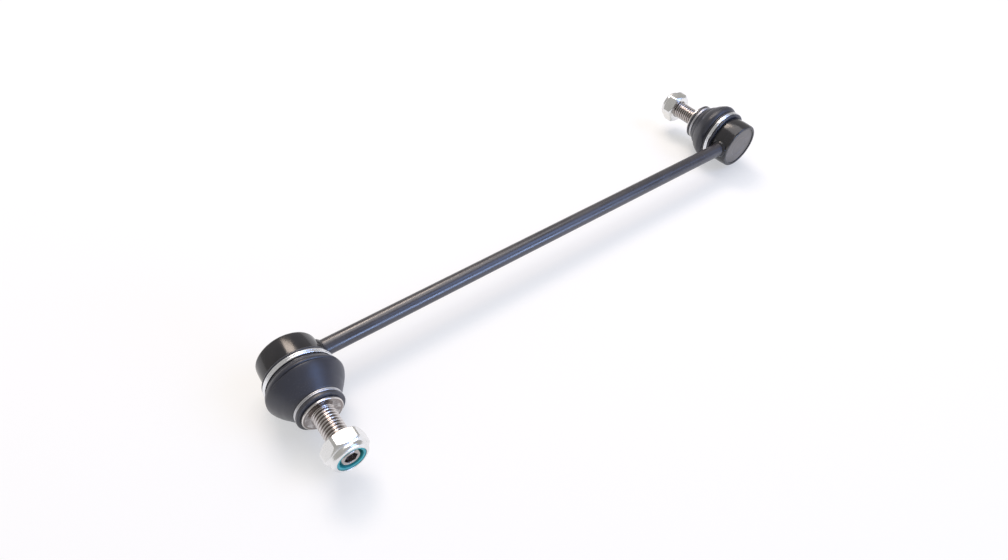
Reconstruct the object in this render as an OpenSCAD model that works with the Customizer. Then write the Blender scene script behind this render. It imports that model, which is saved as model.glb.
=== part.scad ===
// Stabilizer link: a welded steel rod with a sealed ball joint at each end.
// The rod lies along X with its middle at the origin. The left stud points
// along -Y and the right stud along +Y. Each joint is drawn about its own Z
// axis, which runs outwards along its stud from where it crosses the rod axis.

/* [Rod] */
// Distance between the two housing axes
link_l = 292; // [210:1:375]
// Diameter of the rod
rod_d = 7.9; // [6.5:0.1:9.3]
// Leg of the weld bead where the rod meets a housing
weld_leg = 1.3; // [0.8:0.1:1.6]

/* [Housing] */
// Outside diameter of the housing
housing_d = 27.5; // [26.5:0.1:28.5]
// From the rod axis back to the rolled rim
housing_back = 5.6; // [5.3:0.1:6.9]
// Land between the weld bead and the boot groove
weld_land = 0.55; // [0.3:0.05:1.3]
// Rounding of the back edge
back_round = 1.4; // [0.7:0.1:1.6]
// Depth of the groove that holds the boot
groove_h = 1.25; // [0.85:0.05:1.65]
// Width of the groove that holds the boot
groove_w = 4.2; // [4.1:0.05:4.5]
// Width of the lip above the groove
lip_w = 0.75; // [0.65:0.05:1.15]
// How far the lip stands out of the groove
lip_h = 0.35; // [0.2:0.05:0.5]

/* [Closing plate] */
// Wall of the housing around the plate
rim_wall = 1.55; // [1.35:0.05:2.2]
// Thickness of the plate
plate_t = 1.2; // [0.8:0.1:1.5]
// Depth of the plate below the rolled rim
plate_recess = 0.5; // [0.3:0.1:0.8]
// Overlap of the rolled rim on the plate
rim_lap = 0.5; // [0.3:0.1:1]
// Diameter of the round dimple pressed into the plate
dimple_d = 12; // [7:0.5:15]
// Depth of the dimple
dimple_h = 0.2; // [0.1:0.05:0.3]

/* [Ball joint] */
// Diameter of the ball
ball_d = 12.8; // [12:0.1:13.3]
// Diameter of the stud's neck above the ball
neck_d = 7.5; // [6.7:0.1:7.8]
// Largest lean of the stud that the mouth leaves room for
swing = 28; // [27:0.5:30]
// Wall of the ball seat at the ball's equator
seat_wall = 3.3; // [2.5:0.05:3.5]
// Height of the seat above the ball's centre
seat_top = 4.2; // [3.8:0.1:4.5]
// Diameter of the grease well under the ball
well_d = 5; // [3.3:0.1:6.7]
// Gap between the ball and the closing plate
ball_gap = 0.4; // [0.2:0.1:0.7]

/* [Stud] */
// Nominal thread diameter
thread_d = 10; // [9.8:0.1:10.4]
// How far the lead-in that lies inside the nut is below the thread
lead_drop = 0.2; // [0.2:0.05:0.5]
// From the rod axis to the flange's seating face
flange_s = 29.5; // [28:0.1:33.3]
// Diameter of the flange
flange_d = 17.8; // [16.1:0.1:19.3]
// Thickness of the flange
flange_t = 1.3; // [1:0.1:1.9]
// Rounding of the flange's edges
flange_round = 0.4; // [0.2:0.05:0.55]
// Diameter of the dish inside the seating face
dish_d = 15.2; // [13.5:0.1:16.7]
// Depth of the dish
dish_h = 0.5; // [0.2:0.1:0.7]
// Flat ring between the dish and the thread
dish_floor = 0.8; // [0.7:0.1:1.2]
// Diameter of the collar that the boot seals on
collar_d = 10.4; // [9.5:0.1:11.3]
// Length of that collar below the flange
collar_l = 5.7; // [5.5:0.1:7.1]
// Length of bare thread between the seating face and the nut
bare_l = 14.7; // [11.4:0.1:19.6]
// Where the lead-in starts, below the nut
lead_start = 0.4; // [0.2:0.1:0.8]
// Hexagon socket in the stud's end, across flats
socket_af = 5; // [4:0.5:6]
// Depth of that socket
socket_h = 5; // [3:0.5:8]
// Chamfer at the stud's tip
tip_chamfer = 1.2; // [0.6:0.1:1.8]

/* [Lock nut] */
// Nut size across flats
nut_af = 17; // [16.6:0.1:19]
// Height of the whole nut
nut_h = 9.4; // [9.3:0.1:10.7]
// Height of the hexagon
hex_h = 7.1; // [6.3:0.1:7.4]
// How far the nut's round seating face lies inside its flats
face_in = 0.4; // [0.2:0.1:0.8]
// Slope of the hexagon's chamfers
nut_slope = 30; // [20:1:35]
// How far the round cap lies inside the nut's flats
cap_in = 0.5; // [0.3:0.1:1]
// Wall of the cap around the nylon insert
cap_wall = 1; // [0.8:0.05:1.5]
// Thickness of the nylon insert
insert_t = 2.1; // [1.6:0.1:2.3]
// Thickness of the rolled lip that keeps the insert in
cap_lip = 0.6; // [0.4:0.05:0.7]
// Overlap of that lip on the insert
cap_lap = 0.8; // [0.5:0.05:1.3]
// How far the stud's tip stays below the nut's end
tip_recess = 0.7; // [0.3:0.1:1.8]
// Countersink at the start of the nut's thread
sink = 0.6; // [0.3:0.1:1]

/* [Dust boot] */
// Largest diameter of the boot
boot_d = 34; // [33.1:0.1:36]
// From the mouth of the housing out to that largest diameter
boot_rise = 3.3; // [2.9:0.1:4.2]
// Wall of the boot
boot_wall = 1.6; // [1.2:0.1:1.8]
// Wall of the boot's base under the clamp ring
base_wall = 1.85; // [1.6:0.05:2]
// Height of the bead below the clamp ring
bead_h = 1.25; // [1:0.05:1.35]
// How far the bead stands out of the base
bead_out = 1.05; // [0.65:0.05:1.25]
// Height of the shoulder above the clamp ring
shoulder_h = 1.35; // [1:0.05:1.5]
// How far the shoulder stands out of the base
shoulder_out = 0.85; // [0.7:0.05:1.1]
// How far the crease above the shoulder stands out of the base
crease_out = 0.35; // [0.15:0.05:0.5]
// Diameter of the groove for the neck ring
neck_groove_d = 19.2; // [18.4:0.1:20]
// Bend of the boot's taper: 1 is a straight cone, 2 a parabola
taper_bend = 1.3; // [1.1:0.1:1.7]
// How far the boot's taper ends outside that groove
taper_out = 0.65; // [0.5:0.05:0.9]
// How far the end lip stands out of that groove
end_lip_out = 0.9; // [0.6:0.05:1.3]
// Thickness of the end lip
end_lip_h = 1.6; // [1.2:0.1:2]

/* [Wire rings] */
// Wire of the clamp ring
clamp_wire = 1.15; // [1:0.05:1.25]
// Wire of the neck ring
neck_wire = 0.75; // [0.6:0.05:0.85]
// Turns of wire side by side in a ring
ring_turns = 2; // [1:1:2]
// How far neighbouring turns are pressed together, as a share of the wire
turn_lap = 0.04; // [0.02:0.01:0.1]

/* [Fits] */
// Gap between pieces that are pressed together
press_gap = 0.05; // [0.02:0.01:0.08]
// Gap between the ball or the thread and what runs on it
run_gap = 0.05; // [0.02:0.01:0.08]
// Gap between the rubber boot and what holds it
boot_gap = 0.15; // [0.1:0.01:0.2]
// Gap between a stud at its full lean and the mouth around it
lean_gap = 0.3; // [0.2:0.05:0.4]

/* [Hidden] */
$fn = 96;
left = -1;
right = 1;
hex = 6;
arc_steps = 8;
curve_steps = 14;
over = 1;
turn_step = 1 - turn_lap;

// Radii, and how near the rod's saddle cuts come to the housing axes
rod_r = rod_d / 2;
housing_r = housing_d / 2;
groove_r = housing_r - groove_h;
lip_r = groove_r + lip_h;
plate_r = housing_r - rim_wall - press_gap;
rim_r = plate_r - rim_lap;
saddle_x = housing_r - rod_r;
dimple_r = dimple_d / 2;
ball_r = ball_d / 2;
neck_r = neck_d / 2;
seat_in_r = ball_r + run_gap;
seat_r = seat_in_r + seat_wall;
pocket_r = seat_r + press_gap;
well_r = well_d / 2;
thread_r = thread_d / 2;
lead_r = thread_r - lead_drop;
collar_r = collar_d / 2;
flange_r = flange_d / 2;
dish_r = dish_d / 2;
socket_r = socket_af / 2 / cos(180 / hex);
nut_r = nut_af / 2 / cos(180 / hex);
nut_face_r = nut_af / 2 - face_in;
nut_bore_r = thread_r + run_gap;
cap_r = nut_af / 2 - cap_in;
insert_r = cap_r - cap_wall - press_gap;
window_r = insert_r - cap_lap;

// Heights along a joint's axis, outwards from the rod axis
back_s = -housing_back;
plate_s = back_s + plate_recess;
plate_end = plate_s + plate_t;
ball_s = plate_end + ball_gap + ball_r;
seat_end = ball_s + seat_top;
lip_s = seat_end + press_gap;
groove_s = rod_r + weld_leg + weld_land;
groove_end = groove_s + groove_w;
mouth_s = groove_end + lip_w;
collar_end = flange_s - flange_t;
collar_s = collar_end - collar_l;
dish_s = flange_s - dish_h;
nut_s = flange_s + bare_l;
lead_s = nut_s - lead_start;
tip_s = nut_s + nut_h - tip_recess;

// Heights inside the nut, from its seating face
insert_end = nut_h - cap_lip - press_gap;
insert_s = insert_end - insert_t;

// The boot's base, from the housing groove out to its shoulder, and where its arcs stop
base_s = groove_s + boot_gap;
base_in = groove_r + boot_gap;
base_r = base_in + base_wall;
bead_r = bead_h / 2;
bead_end = base_s + bead_h;
clamp_w = clamp_wire * (1 + (ring_turns - 1) * turn_step);
clamp_s = bead_end + boot_gap + clamp_w / 2;
shoulder_s = clamp_s + clamp_w / 2 + boot_gap;
shoulder_r = shoulder_h / 2;
crease_s = shoulder_s + shoulder_h;
crease_r = base_r + crease_out;
mouth_in = lip_r + boot_gap;
shoulder_turn = 60;
bulge_stop = 5;

// The boot's bulge, its taper and its neck below the flange
bulge_r = boot_d / 2;
bulge_s = mouth_s + boot_rise;
boot_end = collar_end - boot_gap;
end_lip_s = boot_end - end_lip_h;
neck_w = neck_wire * (1 + (ring_turns - 1) * turn_step);
neck_s = end_lip_s - boot_gap - neck_w / 2;
taper_s = neck_s - neck_w / 2 - boot_gap;
neck_groove_r = neck_groove_d / 2;
neck_in = collar_r + boot_gap;

// Radius that the neck of a leaning stud sweeps at a height above the ball
function swept_r(s) = (s - ball_s) * tan(swing) + neck_r / cos(swing) + lean_gap;

// Points of an ellipse's arc between two angles
function arc(centre, rx, ry, from, to, steps = arc_steps) =
    [for (i = [0:steps]) let (a = from + (to - from) * i / steps) centre + [rx * cos(a), ry * sin(a)]];

// Points of a curve that starts along the axis and turns in to an end radius
function taper(r, s, end_r, end_s) =
    [for (i = [0:curve_steps]) let (t = i / curve_steps)
        [r - (r - end_r) * pow(t, taper_bend), s + (end_s - s) * t]];

// A list in the opposite order
function reversed(list) = [for (i = [len(list) - 1:-1:0]) list[i]];

// Puts a joint's own frame at one end of the link
module at_end(side) {
    translate([side * link_l / 2, 0, 0]) rotate([-side * 90, 0, 0]) children();
}

// A solid of revolution about the joint's axis from [radius, height] points
module turned(points) {
    rotate_extrude() polygon(points);
}

// The outside of the housing below its groove, as a solid
function housing_side() = concat(
    arc([housing_r - back_round, back_s + back_round], back_round, back_round, -90, 0),
    [[housing_r, groove_s]]
);

module housing_envelope() {
    turned(concat([[0, groove_s], [0, back_s]], housing_side()));
}

// Forged cup with a boot groove, a rolled back rim and a conical mouth
module housing() {
    turned(concat(
        [[rim_r, back_s]],
        housing_side(),
        [
            [groove_r, groove_s], [groove_r, groove_end],
            [lip_r, groove_end], [lip_r, mouth_s],
            [swept_r(mouth_s), mouth_s], [swept_r(lip_s), lip_s],
            [pocket_r, lip_s], [pocket_r, plate_end + press_gap],
            [plate_r + press_gap, plate_end + press_gap], [plate_r + press_gap, plate_s],
            [rim_r, plate_s]
        ]
    ));
}

// Fillet weld around the rod, cut to the housing's side
module rod_weld(side) {
    toe = housing_r + weld_leg;
    at_end(side) difference() {
        rotate([0, -side * 90, 0]) turned(concat(
            [[rod_r, toe], [rod_r, saddle_x], [rod_r + weld_leg, saddle_x]],
            arc([rod_r + weld_leg, toe], weld_leg, weld_leg, 270, 180)
        ));
        housing_envelope();
    }
}

// Round bar between the housings, with a saddle cut at each end
module link_rod() {
    color("dimgray") difference() {
        rotate([0, 90, 0]) cylinder(r = rod_r, h = link_l - 2 * saddle_x, center = true);
        for (side = [left, right]) at_end(side) housing_envelope();
    }
}

// Disc that closes the housing's back, with a shallow round dimple outside
module closing_plate() {
    turned([
        [0, plate_s + dimple_h], [dimple_r, plate_s + dimple_h], [dimple_r + dimple_h, plate_s],
        [plate_r, plate_s], [plate_r, plate_end], [0, plate_end]
    ]);
}

// Plastic socket that wraps the ball past its equator, open at both ends
module ball_seat() {
    difference() {
        turned([
            [well_r, plate_end], [seat_r, plate_end], [seat_r, seat_end],
            [swept_r(seat_end), seat_end], [swept_r(ball_s), ball_s], [well_r, ball_s]
        ]);
        translate([0, 0, ball_s]) sphere(r = seat_in_r);
    }
}

// Ball, neck, sealing collar, dished flange and threaded shank in one piece
module ball_stud() {
    difference() {
        union() {
            translate([0, 0, ball_s]) sphere(r = ball_r);
            turned(concat(
                [
                    [0, ball_s], [neck_r, ball_s], [neck_r, collar_s - collar_r + neck_r],
                    [collar_r, collar_s], [collar_r, collar_end]
                ],
                arc([flange_r - flange_round, collar_end + flange_round], flange_round, flange_round, -90, 0),
                arc([flange_r - flange_round, flange_s - flange_round], flange_round, flange_round, 0, 90),
                [
                    [dish_r, flange_s], [thread_r + dish_floor, dish_s], [thread_r, dish_s],
                    [thread_r, lead_s], [lead_r, lead_s],
                    [lead_r, tip_s - tip_chamfer], [lead_r - tip_chamfer, tip_s], [0, tip_s]
                ]
            ));
        }
        translate([0, 0, tip_s - socket_h]) cylinder(r = socket_r, h = socket_h + over, $fn = hex);
    }
}

// Rubber boot: bead, ring seat, shoulder, bulge, taper, neck groove and end lip
module dust_boot() {
    turned(concat(
        [[base_in, base_s]],
        arc([base_r + bead_out - bead_r, base_s + bead_r], bead_r, bead_r, -90, 90),
        [[base_r, bead_end], [base_r, shoulder_s]],
        arc([base_r + shoulder_out - shoulder_r, shoulder_s + shoulder_r],
            shoulder_r, shoulder_r, -90, shoulder_turn),
        arc([crease_r, bulge_s], bulge_r - crease_r, bulge_s - crease_s, -90, -bulge_stop),
        taper(bulge_r, bulge_s, neck_groove_r + taper_out, taper_s),
        [
            [neck_groove_r, taper_s], [neck_groove_r, end_lip_s],
            [neck_groove_r + end_lip_out, end_lip_s], [neck_groove_r + end_lip_out, boot_end],
            [neck_in, boot_end], [neck_in, taper_s - boot_wall]
        ],
        reversed(taper(bulge_r - boot_wall, bulge_s, neck_groove_r - boot_wall, taper_s - boot_wall)),
        arc([mouth_in, bulge_s], bulge_r - boot_wall - mouth_in, bulge_s - crease_s, -bulge_stop, -90),
        [[mouth_in, groove_end - boot_gap], [base_in, groove_end - boot_gap]]
    ));
}

// Turns of round wire side by side around a groove
module wire_ring(inner_r, wire, s) {
    for (turn = [0:ring_turns - 1])
        translate([0, 0, s + (turn - (ring_turns - 1) / 2) * wire * turn_step])
            rotate_extrude() translate([inner_r + wire / 2, 0]) circle(d = wire);
}

module boot_clamp_ring() {
    wire_ring(base_r + boot_gap, clamp_wire, clamp_s);
}

module boot_neck_ring() {
    wire_ring(neck_groove_r + boot_gap, neck_wire, neck_s);
}

// Hexagon nut with a round cap, bored for the thread and the insert
module lock_nut() {
    face_rise = (nut_r - nut_face_r) * tan(nut_slope);
    cap_rise = (nut_r - cap_r) * tan(nut_slope);
    cap_round = cap_r - window_r;
    translate([0, 0, nut_s]) difference() {
        union() {
            intersection() {
                cylinder(r = nut_r, h = hex_h, $fn = hex);
                turned([
                    [0, 0], [nut_face_r, 0], [nut_r, face_rise],
                    [nut_r, hex_h - cap_rise], [cap_r, hex_h], [0, hex_h]
                ]);
            }
            turned(concat(
                [[0, hex_h - over], [cap_r, hex_h - over]],
                arc([window_r, nut_h - cap_round], cap_round, cap_round, 0, 90),
                [[0, nut_h]]
            ));
        }
        turned([
            [0, -over], [nut_bore_r + sink, -over], [nut_bore_r + sink, 0], [nut_bore_r, sink],
            [nut_bore_r, insert_s - press_gap], [insert_r + press_gap, insert_s - press_gap],
            [insert_r + press_gap, nut_h - cap_lip], [window_r, nut_h - cap_lip],
            [window_r, nut_h + over], [0, nut_h + over]
        ]);
    }
}

// Nylon ring that grips the thread
module nut_insert() {
    translate([0, 0, nut_s]) turned([
        [nut_bore_r, insert_s], [insert_r, insert_s], [insert_r, insert_end], [nut_bore_r, insert_end]
    ]);
}

module left_rod_weld() { color("dimgray") rod_weld(left); }
module right_rod_weld() { color("dimgray") rod_weld(right); }
module left_housing() { color("dimgray") at_end(left) housing(); }
module right_housing() { color("dimgray") at_end(right) housing(); }
module left_closing_plate() { color("gray") at_end(left) closing_plate(); }
module right_closing_plate() { color("gray") at_end(right) closing_plate(); }
module left_ball_seat() { color("ivory") at_end(left) ball_seat(); }
module right_ball_seat() { color("ivory") at_end(right) ball_seat(); }
module left_ball_stud() { color("silver") at_end(left) ball_stud(); }
module right_ball_stud() { color("silver") at_end(right) ball_stud(); }
module left_dust_boot() { color("darkslategray") at_end(left) dust_boot(); }
module right_dust_boot() { color("darkslategray") at_end(right) dust_boot(); }
module left_boot_clamp_ring() { color("gainsboro") at_end(left) boot_clamp_ring(); }
module right_boot_clamp_ring() { color("gainsboro") at_end(right) boot_clamp_ring(); }
module left_boot_neck_ring() { color("lightgray") at_end(left) boot_neck_ring(); }
module right_boot_neck_ring() { color("lightgray") at_end(right) boot_neck_ring(); }
module left_lock_nut() { color("whitesmoke") at_end(left) lock_nut(); }
module right_lock_nut() { color("whitesmoke") at_end(right) lock_nut(); }
module left_nut_insert() { color("lightseagreen") at_end(left) nut_insert(); }
module right_nut_insert() { color("lightseagreen") at_end(right) nut_insert(); }

link_rod();
left_rod_weld();
right_rod_weld();
left_housing();
right_housing();
left_closing_plate();
right_closing_plate();
left_ball_seat();
right_ball_seat();
left_ball_stud();
right_ball_stud();
left_dust_boot();
right_dust_boot();
left_boot_clamp_ring();
right_boot_clamp_ring();
left_boot_neck_ring();
right_boot_neck_ring();
left_lock_nut();
right_lock_nut();
left_nut_insert();
right_nut_insert();
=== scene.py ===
import math

import bpy
import numpy as np
from mathutils import Matrix, Vector


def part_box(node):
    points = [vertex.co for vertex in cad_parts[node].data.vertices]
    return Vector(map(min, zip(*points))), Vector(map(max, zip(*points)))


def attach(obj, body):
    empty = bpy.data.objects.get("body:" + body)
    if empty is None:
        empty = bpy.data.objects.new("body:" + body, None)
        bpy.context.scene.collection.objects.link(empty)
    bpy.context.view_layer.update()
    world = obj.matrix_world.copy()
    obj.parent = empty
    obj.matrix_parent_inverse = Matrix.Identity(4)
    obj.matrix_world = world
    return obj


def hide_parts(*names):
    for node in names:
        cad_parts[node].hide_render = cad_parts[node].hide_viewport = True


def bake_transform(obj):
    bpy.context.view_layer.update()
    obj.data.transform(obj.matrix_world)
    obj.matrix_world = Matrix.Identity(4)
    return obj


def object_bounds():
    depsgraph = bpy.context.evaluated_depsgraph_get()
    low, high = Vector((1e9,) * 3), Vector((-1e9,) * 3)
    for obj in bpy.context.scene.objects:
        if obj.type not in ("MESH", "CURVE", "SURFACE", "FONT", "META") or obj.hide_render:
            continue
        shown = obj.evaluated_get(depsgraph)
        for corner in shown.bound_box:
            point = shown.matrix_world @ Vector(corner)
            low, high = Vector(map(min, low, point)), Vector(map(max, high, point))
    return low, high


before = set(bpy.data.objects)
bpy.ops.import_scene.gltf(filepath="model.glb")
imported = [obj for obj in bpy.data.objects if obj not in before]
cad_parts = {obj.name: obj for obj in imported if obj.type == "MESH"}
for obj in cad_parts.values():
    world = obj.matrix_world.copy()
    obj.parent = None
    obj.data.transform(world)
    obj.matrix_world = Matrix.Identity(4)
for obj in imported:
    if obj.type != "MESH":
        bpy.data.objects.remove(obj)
cadLow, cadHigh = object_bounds()  # the CAD box, before any piece is replaced
scene = bpy.context.scene
mm = 0.001
fullTurn = 2 * math.pi
sides = {"left": -1, "right": 1}  # the left stud points along -Y, the right one along +Y
underneath = {"left": 270.0, "right": 90.0}  # angle about each stud that faces the floor
print("frame loaded,", len(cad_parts), "nodes")


# Places read from the frame

def reach(nodeName, side):
    # where a node starts and ends along its stud, and its radius upwards, in mm
    low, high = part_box(nodeName)
    start, end = sorted((side * low.y / mm, side * high.y / mm))
    return start, end, (high.z - low.z) / 2 / mm


housingLow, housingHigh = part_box("right_housing")
axisX = (housingLow.x + housingHigh.x) / 2 / mm  # from the middle of the rod to a joint's axis
housingStart, housingEnd, housingRadius = reach("right_housing", 1)
rodRadius = reach("link_rod", 1)[2]
print("joint axes at", round(axisX, 2), "mm, housing radius", round(housingRadius, 2), "mm")


# Meshes from grids

def atJoint(x, y, s, side):
    # a joint's own axes to the row frame: s runs out along the stud, y across it, x along the rod
    return np.stack(np.broadcast_arrays(side * axisX + x, side * s, -side * y), -1) * mm


def around(segments):
    # equal angles of one turn
    return np.arange(segments) * fullTurn / segments


def spin(radius, height, angle, side):
    # radius and height of each row and column, turned about the joint's axis
    return atJoint(radius * np.cos(angle), radius * np.sin(angle), height, side)


def smooth(values, low, high):
    # 0 below low, 1 above high and a smooth step between
    t = np.clip((values - low) / (high - low), 0, 1)
    return t * t * (3 - 2 * t)


def swells(angle, height, waves):
    # a sum of sines around the axis, each with its count, phase, twist along the axis and share
    return sum(share * np.sin(count * angle + phase + twist * height)
               for count, phase, twist, share in waves)


def gridMesh(name, points, closeRows=False, poles=None, masks=None):
    # rows by columns of points, closed around the columns; rows close into a ring or end in two poles
    rows, columns = points.shape[:2]
    last = rows if closeRows else rows - 1
    i, j = np.arange(last)[:, None], np.arange(columns)[None, :]
    nextI, nextJ = (i + 1) % rows, (j + 1) % columns
    quads = np.stack([i * columns + j, i * columns + nextJ, nextI * columns + nextJ, nextI * columns + j], -1)
    step = np.linalg.norm(np.diff(points[:, 0], axis=0, append=points[:1, 0]), axis=1)
    length = np.concatenate([[0], np.cumsum(step)]) / mm
    u0, u1 = np.broadcast_to(j, (last, columns)) / columns, np.broadcast_to(j + 1, (last, columns)) / columns
    v0, v1 = np.broadcast_to(length[i], u0.shape), np.broadcast_to(length[i + 1], u0.shape)
    uv = [np.stack([u0, v0, u1, v0, u1, v1, u0, v1], -1).ravel()]
    vertices, faces = points.reshape(-1, 3), quads.reshape(-1, 4).tolist()
    if poles is not None:
        first, ring, top = rows * columns, j.ravel(), (rows - 1) * columns
        faces += np.stack([np.full(columns, first), nextJ.ravel(), ring], -1).tolist()
        faces += np.stack([top + ring, top + nextJ.ravel(), np.full(columns, first + 1)], -1).tolist()
        vertices = np.concatenate([vertices, poles])
        here, beside = ring / columns, (ring + 1) / columns
        for end in (0, rows - 1):
            level = np.full(columns, length[end])
            uv.append(np.stack([here, level, beside, level, here, level], -1).ravel())
    mesh = bpy.data.meshes.new(name)
    mesh.from_pydata(vertices.tolist(), [], faces)
    mesh.uv_layers.new(name="surface").data.foreach_set("uv", np.concatenate(uv).astype(np.float32))
    for mask, values in (masks or {}).items():
        flat = np.broadcast_to(values, (rows, columns)).astype(np.float32).ravel()
        spare = np.zeros(len(vertices) - len(flat), np.float32)
        layer = mesh.attributes.new(mask, "FLOAT", "POINT")
        layer.data.foreach_set("value", np.concatenate([flat, spare]))
    mesh.polygons.foreach_set("use_smooth", np.ones(len(mesh.polygons), bool))
    mesh.update()
    piece = bpy.data.objects.new(name, mesh)
    scene.collection.objects.link(piece)
    return piece


def arc(centreR, centreS, radiusR, radiusS, fromDegrees, toDegrees, steps):
    # points of an ellipse's arc in the plane of radius and height
    a = np.radians(np.linspace(fromDegrees, toDegrees, steps))
    return np.stack([centreR + radiusR * np.cos(a), centreS + radiusS * np.sin(a)], -1)


loopLimits = {"leastRound": 0.01, "straight": 0.9999, "trimShare": 0.45, "supportShare": 0.2}


def roundedLoop(corners, steps, support):
    # closed outline of radius, height, rounding: each corner becomes a circle's arc tangent to both sides
    # with a point just before and after it, so that the flats between corners shade flat
    table, limits = np.array(corners, float), loopLimits
    p, rounding = table[:, :2], np.maximum(table[:, 2], limits["leastRound"])
    back, ahead = np.roll(p, 1, 0) - p, np.roll(p, -1, 0) - p
    backLength, aheadLength = np.linalg.norm(back, axis=1), np.linalg.norm(ahead, axis=1)
    back, ahead = back / backLength[:, None], ahead / aheadLength[:, None]
    half = np.arccos(np.clip(np.sum(back * ahead, 1), -limits["straight"], limits["straight"])) / 2
    room = limits["trimShare"] * np.minimum(backLength, aheadLength)
    trim = np.minimum(rounding / np.tan(half), room)
    middle = back + ahead
    centre = p + middle / np.linalg.norm(middle, axis=1)[:, None] * (trim / np.cos(half))[:, None]
    start, end = p + back * trim[:, None], p + ahead * trim[:, None]
    sweep = (math.pi - 2 * half)[:, None, None]
    t = np.linspace(0, 1, steps)[None, :, None]
    turned = np.sin((1 - t) * sweep) * (start - centre)[:, None] + np.sin(t * sweep) * (end - centre)[:, None]
    arcs = centre[:, None] + turned / np.sin(sweep)
    before = start + back * np.minimum(support, limits["supportShare"] * backLength)[:, None]
    after = end + ahead * np.minimum(support, limits["supportShare"] * aheadLength)[:, None]
    outline = np.concatenate([before[:, None], arcs, after[:, None]], 1)
    edge = np.zeros(outline.shape[:2])
    edge[:, 1:-1] = np.where(table[:, 2] > 0, 1.0, 0.0)[:, None]
    return outline.reshape(-1, 2), edge.ravel()


def lathe(name, outline, side, segments, edge, wobble=None):
    # an outline of radius and height turned about the joint's axis; wobble adds to the radius
    angle = around(segments)[None, :]
    radius, height = outline[:, :1], outline[:, 1:]
    if wobble is not None:
        radius = radius + wobble(angle, height)
    points = spin(radius, height, angle, side)
    return gridMesh(name, points, closeRows=True, masks={"edge": edge[:, None]})


def dress(piece, body, nodeName, material):
    # rides on a body, stands for its CAD node and takes its finish
    piece.data.materials.append(material)
    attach(piece, body)
    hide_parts(nodeName)


# Shared shader groups

def newGroup(name, inputs, outputs):
    # an empty group with its named inputs and outputs
    group = bpy.data.node_groups.new(name, "ShaderNodeTree")
    for title, kind, value in inputs:
        socket = group.interface.new_socket(title, in_out="INPUT", socket_type=kind)
        if value is not None:
            socket.default_value = value
    for title, kind in outputs:
        group.interface.new_socket(title, in_out="OUTPUT", socket_type=kind)
    return group, group.nodes.new("NodeGroupInput"), group.nodes.new("NodeGroupOutput")


def feed(tree, target, value):
    # links a socket, or sets a plain value
    if isinstance(value, bpy.types.NodeSocket):
        tree.links.new(value, target)
    else:
        target.default_value = value


def addNode(tree, kind, **values):
    # a node with its properties and inputs set; inputs start with a capital letter
    made = tree.nodes.new(kind)
    for key, value in values.items():
        target = made.inputs.get(key.replace("_", " ")) if key[0].isupper() else None
        if target is None:
            setattr(made, key, value)
        else:
            feed(tree, target, value)
    return made


def addGroup(tree, group, **inputs):
    # a shared group placed in a material with its own values
    made = tree.nodes.new("ShaderNodeGroup")
    made.node_tree = group
    for key, value in inputs.items():
        feed(tree, made.inputs[key.replace("_", " ")], value)
    return made


def noise(tree, vector, scale, detail=3.0, roughness=0.55):
    made = addNode(tree, "ShaderNodeTexNoise", Vector=vector, Scale=scale, Detail=detail, Roughness=roughness)
    return made.outputs["Fac"]


def ramp(tree, value, low, high, toLow=0.0, toHigh=1.0):
    # a value's range stretched to another range, smooth at both ends
    made = addNode(tree, "ShaderNodeMapRange", interpolation_type="SMOOTHSTEP", Value=value,
                   From_Min=low, From_Max=high, To_Min=toLow, To_Max=toHigh)
    return made.outputs["Result"]


def maths(tree, operation, a, b):
    # one step of arithmetic on two values or sockets
    made = addNode(tree, "ShaderNodeMath", operation=operation)
    feed(tree, made.inputs[0], a)
    feed(tree, made.inputs[1], b)
    return made.outputs[0]


def blendColour(tree, factor, a, b):
    # from colour a to colour b by a mask
    made = addNode(tree, "ShaderNodeMix", data_type="RGBA", clamp_factor=True)
    feed(tree, made.inputs[0], factor)
    for target, value in ((made.inputs[6], a), (made.inputs[7], b)):
        feed(tree, target, (*value, 1.0) if isinstance(value, tuple) else value)
    return made.outputs[2]


grainLook = {"patchDetail": 4.0, "patchRange": (0.3, 0.7), "grainDetail": 2.0}
dustLook = {"driftScale": 90.0, "driftDetail": 3.0, "driftRange": (0.42, 0.72), "speckScale": 2600.0,
            "speckDetail": 1.0, "speckRange": (0.60, 0.74), "roughness": 0.4}
wearLook = {"scale": 420.0, "detail": 4.0, "roughness": 0.65, "range": (0.42, 0.66)}
lineLook = {"scale": 1.0, "detail": 3.0, "roughness": 0.6}


def grainGroup():
    # two sizes of noise: broad patches, and fine grain with its height
    group, given, out = newGroup("surfaceGrain", [
        ("Vector", "NodeSocketVector", None), ("Patch Scale", "NodeSocketFloat", 60.0),
        ("Grain Scale", "NodeSocketFloat", 1500.0)], [
        ("Patches", "NodeSocketFloat"), ("Grain", "NodeSocketFloat")])
    spot, look = given.outputs["Vector"], grainLook
    patches = noise(group, spot, given.outputs["Patch Scale"], look["patchDetail"])
    grain = noise(group, spot, given.outputs["Grain Scale"], look["grainDetail"])
    group.links.new(ramp(group, patches, *look["patchRange"]), out.inputs["Patches"])
    group.links.new(grain, out.inputs["Grain"])
    return group


def dustGroup():
    # small specks inside soft drifts of dust
    group, given, out = newGroup("dustSpecks", [
        ("Vector", "NodeSocketVector", None), ("Amount", "NodeSocketFloat", 0.3)], [
        ("Dust", "NodeSocketFloat")])
    spot, look = given.outputs["Vector"], dustLook
    drifts = ramp(group, noise(group, spot, look["driftScale"], look["driftDetail"]), *look["driftRange"])
    specks = ramp(group, noise(group, spot, look["speckScale"], look["speckDetail"]), *look["speckRange"])
    dust = maths(group, "MULTIPLY", maths(group, "MULTIPLY", drifts, specks), given.outputs["Amount"])
    group.links.new(dust, out.inputs["Dust"])
    return group


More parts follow.
